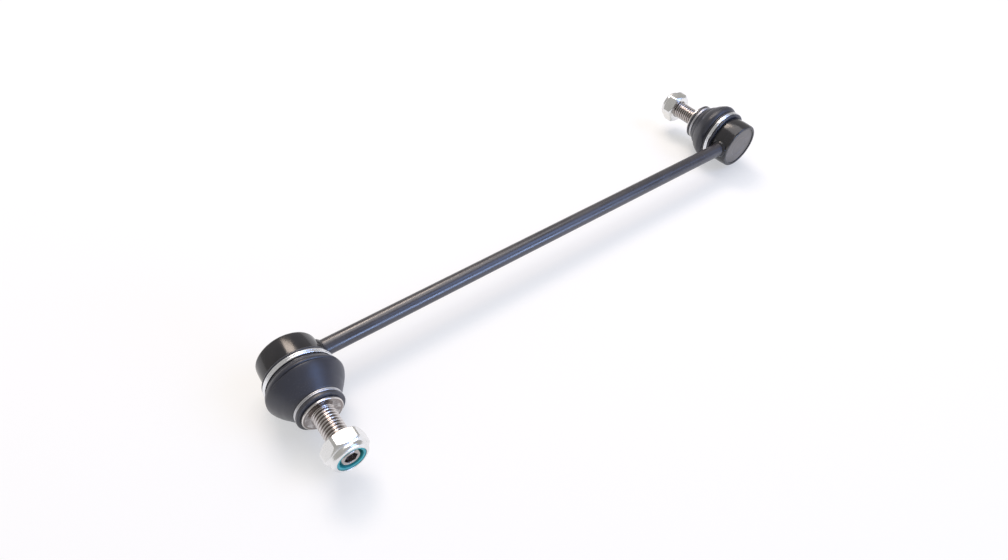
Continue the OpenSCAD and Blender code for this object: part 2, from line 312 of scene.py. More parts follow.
def wearGroup():
    # the piece's own edge mask broken up by noise, so that rubbed edges come and go
    group, given, out = newGroup("rubbedEdges", [
        ("Edge", "NodeSocketFloat", 0.0), ("Vector", "NodeSocketVector", None),
        ("Amount", "NodeSocketFloat", 0.5)], [("Wear", "NodeSocketFloat")])
    spot, look = given.outputs["Vector"], wearLook
    broken = ramp(group, noise(group, spot, look["scale"], look["detail"], look["roughness"]), *look["range"])
    rubbed = maths(group, "MULTIPLY", broken, given.outputs["Edge"])
    group.links.new(maths(group, "MULTIPLY", rubbed, given.outputs["Amount"]), out.inputs["Wear"])
    return group


def drawnGroup():
    # noise stretched along one way of the piece's own map, as fine drawing or turning lines
    group, given, out = newGroup("drawnLines", [
        ("Vector", "NodeSocketVector", None), ("Stretch", "NodeSocketVector", (4.0, 6.0, 1.0))], [
        ("Lines", "NodeSocketFloat")])
    stretched = addNode(group, "ShaderNodeVectorMath", operation="MULTIPLY")
    group.links.new(given.outputs["Vector"], stretched.inputs[0])
    group.links.new(given.outputs["Stretch"], stretched.inputs[1])
    lines = noise(group, stretched.outputs[0], lineLook["scale"], lineLook["detail"], lineLook["roughness"])
    group.links.new(lines, out.inputs["Lines"])
    return group


surfaceGrain, dustSpecks, rubbedEdges, drawnLines = grainGroup(), dustGroup(), wearGroup(), drawnGroup()


# Finishes

def finish(name, look):
    # base colour from dark to light by patches, then painted shade where the groove mask marks recesses, then
    # wear and dust over it; grain and lines drive roughness and bump
    material = bpy.data.materials.new(name)
    material.use_nodes = True
    tree = material.node_tree
    shader = tree.nodes["Principled BSDF"]
    spot = addNode(tree, "ShaderNodeTexCoord").outputs["Object"]
    grain = addGroup(tree, surfaceGrain, Vector=spot, Patch_Scale=look["patchScale"],
                     Grain_Scale=look["grainScale"])
    patches, height = grain.outputs["Patches"], grain.outputs["Grain"]
    colour = blendColour(tree, patches, look["dark"], look["light"])
    rough = ramp(tree, patches, 0.0, 1.0, look["rough"][0], look["rough"][1])
    if "lines" in look:
        chart = addNode(tree, "ShaderNodeUVMap", uv_map="surface").outputs["UV"]
        lines = addGroup(tree, drawnLines, Vector=chart, Stretch=look["lines"]).outputs["Lines"]
        height = maths(tree, "ADD", height, maths(tree, "MULTIPLY", lines, look["lineDepth"]))
        rough = maths(tree, "ADD", rough, maths(tree, "MULTIPLY", lines, look["lineRough"]))
    # painted shade: the groove colour darkens the recesses that the piece's groove mask marks
    if "groove" in look:
        paintedShade = addNode(tree, "ShaderNodeAttribute", attribute_name="groove").outputs["Fac"]
        colour = blendColour(tree, paintedShade, colour, look["groove"])
    if "wear" in look:
        edge = addNode(tree, "ShaderNodeAttribute", attribute_name="edge").outputs["Fac"]
        wear = addGroup(tree, rubbedEdges, Edge=edge, Vector=spot, Amount=look["wearAmount"]).outputs["Wear"]
        colour = blendColour(tree, wear, colour, look["wear"])
    if "dust" in look:
        dust = addGroup(tree, dustSpecks, Vector=spot, Amount=look["dustAmount"]).outputs["Dust"]
        colour = blendColour(tree, dust, colour, look["dust"])
        rough = maths(tree, "ADD", rough, maths(tree, "MULTIPLY", dust, dustLook["roughness"]))
    tree.links.new(colour, shader.inputs["Base Color"])
    tree.links.new(rough, shader.inputs["Roughness"])
    bump = addNode(tree, "ShaderNodeBump", Strength=look["bump"], Distance=look["bumpDepth"] * mm,
                   Height=height)
    tree.links.new(bump.outputs["Normal"], shader.inputs["Normal"])
    for socket, value in look.get("shader", {}).items():
        shader.inputs[socket].default_value = value
    return material


blackPaint = finish("blackPaint", {
    "dark": (0.019, 0.019, 0.022), "light": (0.028, 0.027, 0.030), "patchScale": 80.0,
    "rough": (0.13, 0.22), "grainScale": 1500.0, "bump": 0.08, "bumpDepth": 0.04,
    "wear": (0.16, 0.145, 0.13), "wearAmount": 0.35, "dust": (0.22, 0.2, 0.18), "dustAmount": 0.25})
rodPaint = finish("rodPaint", {
    "dark": (0.036, 0.034, 0.041), "light": (0.046, 0.043, 0.050), "patchScale": 70.0,
    "rough": (0.24, 0.32), "grainScale": 1500.0, "bump": 0.06, "bumpDepth": 0.04,
    "dust": (0.22, 0.2, 0.19), "dustAmount": 0.25, "shader": {"Specular IOR Level": 0.8}})
plateCoating = finish("plateCoating", {
    "dark": (0.150, 0.134, 0.118), "light": (0.205, 0.184, 0.162), "patchScale": 150.0,
    "rough": (0.38, 0.5), "grainScale": 1900.0, "bump": 0.2, "bumpDepth": 0.05,
    "lines": (3.0, 5.0, 1.0), "lineDepth": 0.6, "lineRough": 0.08,
    "wear": (0.34, 0.32, 0.31), "wearAmount": 0.6, "dust": (0.34, 0.32, 0.3), "dustAmount": 0.4,
    "shader": {"Metallic": 0.35}})
seatPlastic = finish("seatPlastic", {
    "dark": (0.72, 0.70, 0.64), "light": (0.8, 0.78, 0.72), "patchScale": 110.0,
    "rough": (0.4, 0.5), "grainScale": 1700.0, "bump": 0.1, "bumpDepth": 0.04})
studSteel = finish("studSteel", {
    "dark": (0.62, 0.585, 0.57), "light": (0.70, 0.665, 0.65), "patchScale": 160.0,
    "rough": (0.15, 0.22), "grainScale": 2200.0, "bump": 0.08, "bumpDepth": 0.03,
    "lines": (3.0, 9.0, 1.0), "lineDepth": 0.6, "lineRough": 0.08,
    # the groove colour is painted shade for the flange's dish, the thread's roots, the tip and the socket
    "groove": (0.16, 0.13, 0.122), "wear": (0.84, 0.82, 0.80), "wearAmount": 0.6,
    "shader": {"Metallic": 1.0}})
bootRubber = finish("bootRubber", {
    "dark": (0.019, 0.021, 0.032), "light": (0.029, 0.030, 0.042), "patchScale": 60.0,
    "rough": (0.32, 0.40), "grainScale": 1200.0, "bump": 0.12, "bumpDepth": 0.05,
    "wear": (0.075, 0.072, 0.072), "wearAmount": 0.45, "dust": (0.24, 0.23, 0.22), "dustAmount": 0.3,
    "shader": {"Specular IOR Level": 0.7, "Sheen Weight": 0.05, "Sheen Roughness": 0.4,
               "Sheen Tint": (0.75, 0.82, 1.0, 1.0)}})
ringWire = finish("ringWire", {
    "dark": (0.80, 0.81, 0.83), "light": (0.90, 0.91, 0.93), "patchScale": 120.0,
    "rough": (0.18, 0.26), "grainScale": 2400.0, "bump": 0.02, "bumpDepth": 0.02,
    "lines": (9.0, 0.25, 1.0), "lineDepth": 0.2, "lineRough": 0.06,
    "dust": (0.4, 0.39, 0.38), "dustAmount": 0.3, "shader": {"Metallic": 1.0}})
neckWire = finish("neckWire", {
    "dark": (0.56, 0.56, 0.58), "light": (0.66, 0.66, 0.68), "patchScale": 120.0,
    "rough": (0.3, 0.4), "grainScale": 2400.0, "bump": 0.04, "bumpDepth": 0.02,
    "lines": (9.0, 0.25, 1.0), "lineDepth": 0.5, "lineRough": 0.12,
    "dust": (0.3, 0.29, 0.28), "dustAmount": 0.4, "shader": {"Metallic": 1.0}})
zincPlate = finish("zincPlate", {
    "dark": (0.77, 0.772, 0.765), "light": (0.83, 0.832, 0.825), "patchScale": 260.0,
    "rough": (0.2, 0.28), "grainScale": 2600.0, "bump": 0.06, "bumpDepth": 0.03,
    "wear": (0.93, 0.93, 0.93), "wearAmount": 0.5, "dust": (0.4, 0.39, 0.37), "dustAmount": 0.25,
    "shader": {"Metallic": 1.0}})
insertNylon = finish("insertNylon", {
    "dark": (0.024, 0.30, 0.31), "light": (0.036, 0.37, 0.37), "patchScale": 200.0,
    "rough": (0.3, 0.42), "grainScale": 2000.0, "bump": 0.1, "bumpDepth": 0.03,
    "lines": (2.0, 4.0, 1.0), "lineDepth": 0.4, "lineRough": 0.05,
    "wear": (0.13, 0.50, 0.49), "wearAmount": 0.4})
print("finishes made")


# Rod, with a saddle cut where it meets each housing

rodShape = {"segments": 96, "rows": 160, "capRows": 6}


def housingSide(across):
    # distance from a joint's axis to the housing's side, at a place across the rod and across the stud
    return np.sqrt(housingRadius ** 2 - across ** 2)


def makeRod(shape):
    # a cylinder along X whose ends follow the two housings; each end closes in rings to its middle
    angle = around(shape["segments"])[None, :]
    inward = np.linspace(0, 1, shape["capRows"], endpoint=False)[1:, None]
    cap, body = np.ones_like(inward), np.linspace(-1, 1, shape["rows"])[:, None]
    along = np.concatenate([-cap, body, cap])
    radius = rodRadius * np.concatenate([inward, np.ones((shape["rows"], 1)), inward[::-1]])
    y, z = radius * np.cos(angle), radius * np.sin(angle)
    x = along * (axisX - housingSide(z))
    points = np.stack(np.broadcast_arrays(x, y, z), -1) * mm
    tip = (axisX - housingRadius) * mm
    return gridMesh("rod", points, poles=np.array([[-tip, 0, 0], [tip, 0, 0]]))


dress(makeRod(rodShape), "link", "link_rod", rodPaint)
print("rod made")


# Weld bead around the rod at each housing

weldShape = {"leg": 1.15, "crown": 0.05, "ripples": 15, "rippleHeight": 0.02, "rippleDrift": 0.8,
             "driftCount": 3, "rippleLean": 1.4, "spread": 0.06,
             "waves": ((2, 0.6, 0.0, 1.0), (5, 0.0, 0.0, 0.6)), "sunk": 0.3, "rows": 12, "segments": 204}


def makeWeld(name, side, shape):
    # across the bead: a straight leg to leg line plus a half sine for its crown, with ripples around it
    # the back of the bead follows the rod and the housing just below their surfaces
    angle = around(shape["segments"])[None, :]
    t = np.linspace(0, 1, shape["rows"])[:, None]
    drift = shape["rippleDrift"] * np.sin(shape["driftCount"] * angle)
    ripple = np.sin(shape["ripples"] * angle + drift + shape["rippleLean"] * t)
    crown = np.sin(math.pi * t) * (shape["crown"] + shape["rippleHeight"] * ripple)
    leg = shape["leg"] * (1 + shape["spread"] * swells(angle, 0.0, shape["waves"]))
    sunk = np.full_like(angle, rodRadius - shape["sunk"])
    radius = np.concatenate([rodRadius + leg * (1 - t) + crown, sunk, sunk])
    offset = np.concatenate([leg * t + crown, leg, np.full_like(angle, -shape["sunk"])])
    offset[0] = -shape["sunk"]
    y, z = radius * np.cos(angle), radius * np.sin(angle)
    x = side * (axisX - housingSide(z) - offset)
    points = np.stack(np.broadcast_arrays(x, y, z), -1) * mm
    return gridMesh(name, points if side > 0 else points[::-1], closeRows=True)


for label, side in sides.items():
    weld = makeWeld(label + "_weld_bead", side, weldShape)
    dress(weld, "link", label + "_rod_weld", blackPaint)
print("welds made")


# Housings and closing plates

housingShape = {"backRound": 1.4, "rimLap": 0.5, "rimRoll": 0.25, "grooveDepth": 1.25, "grooveStart": 5.8,
                "grooveEnd": 10.0, "lip": 0.35, "mouthRadius": 8.72, "throatRadius": 6.81, "gap": 0.05,
                "soft": 0.1, "edgeRound": 0.25, "unevenness": 0.025,
                "waves": ((3, 0.0, 0.4, 1.0), (7, 2.0, 0.0, 1.0)), "barrel": 0.3, "sideRows": 14,
                "cornerRows": 9, "support": 0.2, "segments": 192}
plateShape = {"dimpleRadius": 6.0, "dimpleDepth": 0.2, "dimpleSlope": 0.6, "crown": 0.1, "rim": 0.2,
              "rimWidth": 0.4, "middle": 0.4, "insideRows": 12, "rows": 40, "rowBias": 1.2, "segments": 160}


def makeHousing(name, side, shape, plate, seat):
    # the cup's outline, from the rolled rim round the outside to the groove, mouth, pocket and plate seat
    plateStart, plateEnd, plateRadius = plate
    gap, soft, edgeRound = shape["gap"], shape["soft"], shape["edgeRound"]
    pocket, seatTop, rimWindow = seat[2] + gap, seat[1] + gap, plateRadius - shape["rimLap"]
    groove = housingRadius - shape["grooveDepth"]
    outline, edge = roundedLoop([
        (rimWindow, housingStart, shape["rimRoll"]),
        (housingRadius, housingStart, shape["backRound"]),
        (housingRadius, shape["grooveStart"], edgeRound),
        (groove, shape["grooveStart"], soft), (groove, shape["grooveEnd"], soft),
        (groove + shape["lip"], shape["grooveEnd"], soft), (groove + shape["lip"], housingEnd, edgeRound),
        (shape["mouthRadius"], housingEnd, edgeRound), (shape["throatRadius"], seatTop, soft),
        (pocket, seatTop, soft), (pocket, plateEnd + gap, soft),
        (plateRadius + gap, plateEnd + gap, soft), (plateRadius + gap, plateStart, soft / 2),
        (rimWindow, plateStart, soft)], shape["cornerRows"], shape["support"])
    cut = 2 * (shape["cornerRows"] + 2)  # first row of the groove's edge, past the two corners before it
    extra = np.linspace(outline[cut - 1], outline[cut], shape["sideRows"])[1:-1]
    outline, edge = np.insert(outline, cut, extra, 0), np.insert(edge, cut, np.zeros(len(extra)))
    middle, half = (housingStart + shape["grooveStart"]) / 2, (shape["grooveStart"] - housingStart) / 2

    def forged(angle, height):
        # slight swells of a forging, and a barrel that falls off with the square of height, outside only
        outside = np.clip((outline[:, :1] - groove) / (housingRadius - groove), 0, 1)
        uneven = shape["unevenness"] * swells(angle, height, shape["waves"])
        return outside * (uneven - shape["barrel"] * np.clip((height - middle) / half, -1, 1) ** 2)

    return lathe(name, outline, side, shape["segments"], edge, forged)


def makePlate(name, side, shape, plate):
    # a disc: dimple, shallow crown and rounded rim outside, flat inside
    start, end, radius = plate
    dimple, middle = shape["dimpleRadius"], shape["middle"]
    outer = radius - np.linspace(0, 1, shape["rows"]) ** shape["rowBias"] * (radius - middle)
    swell = np.where(outer > dimple, np.cos(outer / radius * math.pi / 2), 0) * shape["crown"]
    rim = shape["rim"] * np.clip((outer - radius) / shape["rimWidth"] + 1, 0, 1) ** 2
    half = shape["dimpleSlope"] / 2
    face = start + rim - swell + shape["dimpleDepth"] * (1 - smooth(outer, dimple - half, dimple + half))
    inner = np.linspace(radius, middle, shape["insideRows"])
    outside, inside = np.stack([outer, face], -1), np.stack([inner, np.full_like(inner, end)], -1)
    outline = np.concatenate([outside[::-1], inside])
    edge = np.exp(-((outline[:, 0] - dimple) / half) ** 2) * (outline[:, 1] < (start + end) / 2)
    angle = around(shape["segments"])[None, :]
    points = spin(outline[:, :1], outline[:, 1:], angle, side)
    poles = np.stack([atJoint(0.0, 0.0, face[-1], side), atJoint(0.0, 0.0, end, side)])
    return gridMesh(name, points, poles=poles, masks={"edge": edge[:, None]})


for label, side in sides.items():
    plate, seat = reach(label + "_closing_plate", side), reach(label + "_ball_seat", side)
    cup = makeHousing(label + "_cup", side, housingShape, plate, seat)
    dress(cup, "link", label + "_housing", blackPaint)
    cover = makePlate(label + "_cover_disc", side, plateShape, plate)
    dress(cover, "link", label + "_closing_plate", plateCoating)
    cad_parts[label + "_ball_seat"].data.materials.clear()
    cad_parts[label + "_ball_seat"].data.materials.append(seatPlastic)
print("housings and closing plates made")


# Dust boots, each in two lengths that meet at a ring

bootShape = {"gap": 0.15, "baseInside": 12.65, "baseRadius": 14.5, "beadRadius": 0.625, "beadOut": 1.05,
             "shoulderRadius": 0.675, "shoulderOut": 0.85, "shoulderArc": (-80, 66), "creaseOut": 0.65,
             "bulgeAt": 14.05, "bulgeArc": (-86, -3), "mouthInside": 13.0, "mouthArc": (-3, -88),
             "landEnd": 9.85, "wall": 1.6, "bend": 1.3, "splitAt": 16.8, "thin": 0.006, "early": 0.4,
             "taperOut": 0.65, "grooveRadius": 9.6, "lipHeight": 1.6, "lipOut": 0.9, "lipRound": 0.4,
             "neckInside": 5.35, "fillet": 0.15, "edgeRound": 0.25, "lobes": 0.04,
             "waves": ((3, 0.0, 0.25, 1.0), (5, 1.3, 0.0, 0.6)), "lobesIn": 2.5, "lobesOut": 3.0,
             "foldAt": 14.3, "foldDepth": {"left": 0.75, "right": 0.3}, "foldWidth": 0.36, "foldLean": 84.0,
             "foldReach": (0.5, 0.9), "waistAt": 20.4, "waistDepth": {"left": 0.1, "right": 0.45},
             "waistWidth": 0.9, "segments": 192,
             "rows": {"bead": 16, "fillet": 4, "shoulder": 16, "bulge": 40, "cone": 44, "lining": 20,
                      "mouth": 16, "top": 50, "topEdge": 5, "lip": 7, "topLining": 24}}


def taper(radius, start, endRadius, end, low, high, steps):
    # a power curve that leaves the bulge along the axis and turns in towards the neck, between two heights
    s = np.linspace(low, high, steps)
    t = (s - start) / (end - start)
    return np.stack([radius - (radius - endRadius) * t ** bootShape["bend"], s], -1)


def bootPlaces(shape, boot, clamp, neck):
    # heights along the stud that follow from the two wire rings and from the boot's end
    shoulder, taperEnd = clamp[1] + shape["gap"], neck[0] - shape["gap"]
    return {"base": boot[0], "end": boot[1], "bulge": boot[2], "shoulder": shoulder,
            "crease": shoulder + 2 * shape["shoulderRadius"], "taperEnd": taperEnd,
            "follow": taperEnd - shape["wall"] - shape["early"],  # the taper's end less the wall and a little more
            "lip": boot[1] - shape["lipHeight"]}


def bootOutlines(shape, at):
    # the lower outline runs from the housing groove to the split, the upper one from there to the end lip;
    # a thin last row on each keeps the split from showing
    wall, split, bulge, base = shape["wall"], shape["splitAt"], at["bulge"], shape["baseRadius"]
    crease, inside, fillet = base + shape["creaseOut"], bulge - wall, shape["fillet"]
    groove, neck, soft = shape["grooveRadius"], shape["neckInside"], shape["edgeRound"]
    bulgeAt, mouth, rows = shape["bulgeAt"], shape["mouthInside"], shape["rows"]
    outer = (bulge, bulgeAt, groove + shape["taperOut"], at["taperEnd"])
    inner = (inside, bulgeAt, groove - wall, at["taperEnd"] - wall)
    rise = bulgeAt - at["crease"]
    bead, shoulder = shape["beadRadius"], shape["shoulderRadius"]
    beadCentre, shoulderCentre = base + shape["beadOut"] - bead, base + shape["shoulderOut"] - shoulder
    lower = np.concatenate([
        [[shape["baseInside"], at["base"]]],
        arc(beadCentre, at["base"] + bead, bead, bead, -90, 90, rows["bead"]),
        arc(base + fillet, at["base"] + 2 * bead + fillet, fillet, fillet, 270, 180, rows["fillet"]),
        arc(base + fillet, at["shoulder"] - fillet, fillet, fillet, 180, 90, rows["fillet"]),
        arc(shoulderCentre, at["shoulder"] + shoulder, shoulder, shoulder, *shape["shoulderArc"],
            rows["shoulder"]),
        arc(crease, bulgeAt, bulge - crease, rise, *shape["bulgeArc"], rows["bulge"]),
        taper(*outer, bulgeAt, split - shape["thin"], rows["cone"]), taper(*outer, split, split, 1),
        taper(*inner, bulgeAt, split, rows["lining"])[::-1],
        arc(mouth, bulgeAt, inside - mouth, rise, *shape["mouthArc"], rows["mouth"]),
        [[mouth, shape["landEnd"]], [shape["baseInside"], shape["landEnd"]]]])
    lip, lipRound = groove + shape["lipOut"], shape["lipRound"]
    upper = np.concatenate([
        taper(*outer, split, split, 1),
        taper(*outer, split + shape["thin"], at["taperEnd"] - soft, rows["top"]),
        arc(groove + shape["taperOut"] - soft, at["taperEnd"] - soft, soft, soft, 10, 90, rows["topEdge"]),
        [[groove, at["taperEnd"]], [groove, at["lip"]]],
        arc(lip - lipRound, at["lip"] + lipRound, lipRound, lipRound, -90, 0, rows["lip"]),
        arc(lip - lipRound, at["end"] - lipRound, lipRound, lipRound, 0, 90, rows["lip"]),
        [[neck + soft, at["end"]], [neck, at["end"] - soft], [neck, inner[3]]],
        taper(*inner, split, inner[3], rows["topLining"])[::-1]])
    return lower, upper


def bootWear(outline, shape, at):
    # where a boot is rubbed paler: its shoulder and its end lip
    r, s = outline[:, 0], outline[:, 1]
    shoulder = np.exp(-((s - at["shoulder"] - shape["shoulderRadius"]) / shape["shoulderRadius"]) ** 2)
    shoulder = shoulder * (r > shape["baseRadius"] + shape["shoulderOut"] / 2)
    return np.clip(shoulder + (s > at["lip"]) * (r > shape["grooveRadius"]), 0, 1)


def makeBoot(name, side, outline, shape, at, foldDepth, waistDepth):
    # turned outline with the faint lobes of a soft moulding, none at its two fits, a fold at the bulge that
    # is a narrow bell in height, deepest towards one side and gone on the other, and a wider bell for a waist
    def soft(angle, height):
        free = smooth(height, at["crease"], at["crease"] + shape["lobesIn"])
        free = free * (1 - smooth(height, at["taperEnd"] - shape["lobesOut"], at["taperEnd"]))
        lobes = shape["lobes"] * swells(angle, height, shape["waves"])
        bell = np.exp(-((height - shape["foldAt"]) / shape["foldWidth"]) ** 2)
        facing = smooth(np.cos(angle + side * math.radians(shape["foldLean"])), *shape["foldReach"])
        waist = waistDepth * np.exp(-((height - shape["waistAt"]) / shape["waistWidth"]) ** 2)
        return free * lobes - foldDepth * bell * facing - waist

    return lathe(name, outline, side, shape["segments"], bootWear(outline, shape, at), soft)


for label, side in sides.items():
    clampSpan, neckSpan = reach(label + "_boot_clamp_ring", side), reach(label + "_boot_neck_ring", side)
    at = bootPlaces(bootShape, reach(label + "_dust_boot", side), clampSpan, neckSpan)
    lower, upper = bootOutlines(bootShape, at)
    bends = (("boot_base", lower, "link", label + "_boot", at["shoulder"], bootShape["splitAt"]),
             ("boot_top", upper, label + "_boot", label + "_neck", bootShape["splitAt"], at["follow"]))
    for part, outline, first, second, start, end in bends:
        length = makeBoot(label + "_" + part, side, outline, bootShape, at, bootShape["foldDepth"][label],
                          bootShape["waistDepth"][label])
        length.data.materials.append(bootRubber)
        atJoint(0.0, 0.0, start, side)
        atJoint(0.0, 0.0, end, side)
        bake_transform(length)
        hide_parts(label + "_dust_boot")
print("dust boots made")


# Wire rings of two turns, with a crossing under the link where the first turn climbs to the second

ringShape = {"lap": 0.04, "cross": 28.0, "blunt": 0.35, "rows": 520, "segments": 20}


def makeRing(name, side, shape, span, crossAt):
    # a circle carried along two flat turns; the crossing is a smooth step from one turn's height to the next
    start, end, outside = span
    wire = (end - start) / (2 - shape["lap"])
    radius = wire / 2
    centre = outside - radius
    cross = math.radians(shape["cross"])
    turn = np.linspace(0, 2 * fullTurn - cross, shape["rows"])[:, None]
    climb = smooth(turn, fullTurn - cross, fullTurn)
    height = start + radius + (end - start - wire) * climb
    section = around(shape["segments"])[None, :]
    endRound = np.clip(np.minimum(turn, turn[-1] - turn) * centre / (shape["blunt"] * radius), 0, 1)
    thin = radius * np.sqrt(1 - shape["blunt"] * (1 - endRound) ** 2)
    angle = turn + math.radians(crossAt + shape["cross"] / 2)
    points = spin(centre + thin * np.cos(section), height + thin * np.sin(section), angle, side)
    middle = spin(np.full_like(turn, centre), height, angle, side)[:, 0]
    return gridMesh(name, points[:, ::-1], poles=middle[[0, -1]])


for label, side in sides.items():
    for part, nodeName, body, material in (("_clamp_wire", "_boot_clamp_ring", "link", ringWire),
                                           ("_neck_wire", "_boot_neck_ring", label + "_neck", neckWire)):
        ring = makeRing(label + part, side, ringShape, reach(label + nodeName, side), underneath[label])
        dress(ring, body, label + nodeName, material)
print("wire rings made")


# Studs with a rolled thread, a dished flange and a hexagon socket

studShape = {"ballRadius": 6.4, "ballAt": 2.9, "ballStart": -88, "neckRadius": 3.75, "collarRadius": 5.2,
             "collarLength": 5.7, "flangeEnd": 29.5, "flangeThick": 1.3, "flangeRound": 0.35,
             "dishRadius": 7.6, "dishDepth": 0.5, "dishFloor": 5.9, "dishShade": 0.75, "pitch": 1.5,
             "crest": 4.96, "root": 4.1, "flankStart": 0.1, "flankWidth": 0.72, "flankStraight": 0.6,
             "runOut": 1.2, "runOutLevel": 0.55, "grooveFade": 1.5, "tipChamfer": 1.3, "tipShade": 0.42,
             "socketFlats": 5.0, "socketDepth": 5.0, "socketShade": 0.4, "drillDepth": 1.0,
             "drillRows": (0.5, 0.1), "soft": 0.1, "ballRows": 40, "rimRows": 8, "rowsPerTurn": 16,
             "segments": 96}


def hexagon(flats, angle):
    # distance from the middle to a hexagon's side, with corners on the angle's zero
    sixth = math.pi / 3
    return flats / 2 / np.cos((angle % sixth) - sixth / 2)


def threadRidge(angle, height, shape):
    # a sixty degree ridge along a right-hand helix, flat at its crest and round at its root
    lead = height / shape["pitch"] - angle / fullTurn
    ridge = 1 - 2 * np.abs(lead % 1.0 - 0.5)
    flank = np.clip((ridge - shape["flankStart"]) / shape["flankWidth"], 0, 1)
    straight = shape["flankStraight"]
    return straight * flank + (1 - straight) * smooth(flank, 0, 1)


def studLower(shape, flange):
    # outline up the ball, neck, collar and flange, and over the flange's rim into its dish
    end, rim, soft = shape["flangeEnd"], shape["flangeRound"], shape["soft"]
    ball, neck, collar = shape["ballRadius"], shape["neckRadius"], shape["collarRadius"]
    start, dish = end - shape["flangeThick"], end - shape["dishDepth"]
    collarStart, dishEdge, dishFloor = start - shape["collarLength"], shape["dishRadius"], shape["dishFloor"]
    join = math.degrees(math.acos(neck / ball))
    return np.concatenate([
        arc(0, shape["ballAt"], ball, ball, shape["ballStart"], join, shape["ballRows"]),
        [[neck, collarStart - collar + neck], [collar, collarStart], [collar, start - soft],
         [collar + soft, start], [flange - rim - soft, start]],
        arc(flange - rim, start + rim, rim, rim, -90, 0, shape["rimRows"]),
        arc(flange - rim, end - rim, rim, rim, 0, 90, shape["rimRows"]),
        [[flange - rim - soft, end], [dishEdge + 2 * soft, end], [dishEdge + soft / 2, end - soft / 4],
         [dishEdge - soft, end - soft / 2], [dishFloor + soft, dish + soft / 2], [dishFloor - soft, dish],
         [shape["crest"] + soft, dish]]])


def makeStud(name, side, shape, tip, flange):
    # the lower outline turned, then rows up the thread to the tip and down into the hexagon socket
    angle = around(shape["segments"])[None, :]
    below, soft, chamfer = studLower(shape, flange), shape["soft"], shape["tipChamfer"]
    crest, root, rim = shape["crest"], shape["root"], shape["flangeRound"]
    threadStart = shape["flangeEnd"] - shape["dishDepth"]
    rows = int((tip - threadStart) / shape["pitch"] * shape["rowsPerTurn"])
    s = np.linspace(threadStart, tip, rows)[:, None]
    ridge, fadeIn = threadRidge(angle, s, shape), np.clip((s - threadStart) / shape["runOut"], 0, 1)
    cut = root + (crest - root) * (ridge * fadeIn + shape["runOutLevel"] * (1 - fadeIn))
    lead = crest - np.clip(s - tip + chamfer, 0, chamfer)
    socket, floor = hexagon(shape["socketFlats"], angle), tip - shape["socketDepth"]
    face = [(crest - chamfer - soft, tip), (socket + 2 * soft, tip), (socket + soft, tip - soft / 2)]
    hole = [(socket, tip - 2 * soft), (socket, tip - 5 * soft), (socket, floor + 2 * soft),
            (socket - soft / 2, floor)]
    hole += [(socket * share, floor - (1 - share) * shape["drillDepth"]) for share in shape["drillRows"]]
    full = np.zeros_like(angle)
    radius = np.concatenate([below[:, :1] + full, np.minimum(cut, lead)] + [r + full for r, h in face + hole])
    height = np.concatenate([below[:, 1:] + full, s + full] + [h + full for r, h in face + hole])
    inThread, onFace = slice(len(below), len(below) + rows), slice(-len(face + hole), -len(hole))
    inDish = (below[:, 1] > threadStart - soft) & (below[:, 0] < flange - rim)
    onRim = np.abs(below[:, 1] - shape["flangeEnd"] + rim) < rim
    groove, edge = np.zeros_like(radius), np.zeros_like(radius)
    # painted shade: the groove mask darkens the dish, the thread roots, the tip's chamfer and face, and the
    # socket
    groove[:len(below)][inDish] = shape["dishShade"]
    groove[inThread] = np.where(lead < cut, shape["tipShade"], ((1 - ridge) * fadeIn) ** shape["grooveFade"])
    groove[onFace] = shape["tipShade"]
    groove[-len(hole):] = shape["socketShade"]
    edge[:len(below)][onRim] = 1
    edge[inThread] = np.clip(ridge * 3 - 2, 0, 1) * fadeIn  # rubbed on the top third of the ridge
    poles = np.stack([atJoint(0.0, 0.0, shape["ballAt"] - shape["ballRadius"], side),
                      atJoint(0.0, 0.0, floor - shape["drillDepth"], side)])
    masks = {"groove": groove, "edge": edge}
    return gridMesh(name, spin(radius, height, angle, side), poles=poles, masks=masks)


for label, side in sides.items():
    tip, flange = reach(label + "_ball_stud", side)[1:]
    shank = makeStud(label + "_threaded_stud", side, studShape, tip, flange)
    dress(shank, label + "_stud", label + "_ball_stud", studSteel)
print("studs made")


# Lock nuts with their nylon inserts

nutShape = {"hexHeight": 7.1, "faceIn": 0.55, "capIn": 0.5, "slope": 42.0, "corner": 0.4, "cornerKeep": 0.35,
            "window": 6.15, "lip": 0.6, "bore": 5.05, "sink": 0.6, "pocket": 7.0, "insertSeat": 6.6,
            "capArc": 84.0, "capRows": 16, "soft": 0.12, "segments": 216,
            "turned": {"left": -8.0, "right": 0.0}}
insertShape = {"inside": 5.02, "round": 0.25, "below": 0.35, "gap": 0.05, "cornerRows": 7, "support": 0.1,
               "segments": 128}


